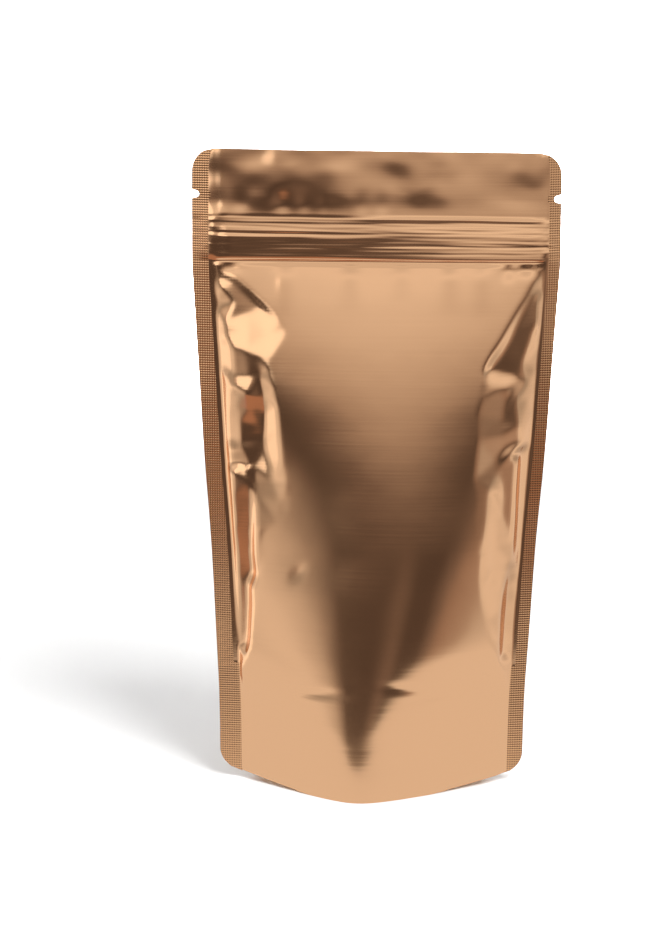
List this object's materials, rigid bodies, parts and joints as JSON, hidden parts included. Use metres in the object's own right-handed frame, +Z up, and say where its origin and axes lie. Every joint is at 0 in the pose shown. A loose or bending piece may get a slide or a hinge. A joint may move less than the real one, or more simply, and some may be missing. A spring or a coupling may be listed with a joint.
{
  "type": "foil stand-up pouch",
  "caption": "Filled foil stand-up pouch with flat side seals, a press-to-close zip under a flat header with tear notches, and an opened gusset base.",
  "frame": {"origin": "on the floor, under the middle of the pouch", "axes": "+X across the pouch, to the right seen from its front; the front panel faces -Y; +Z up, from the base to the header"},
  "size_m": [0.13, 0.0512, 0.2306],
  "materials": {
    "copper_foil": "metallised film printed a clear copper, glossy, with knurled heat seals"
  },
  "bodies": {
    "root": {"foil_pouch": "copper_foil"}
  },
  "joints": []
}
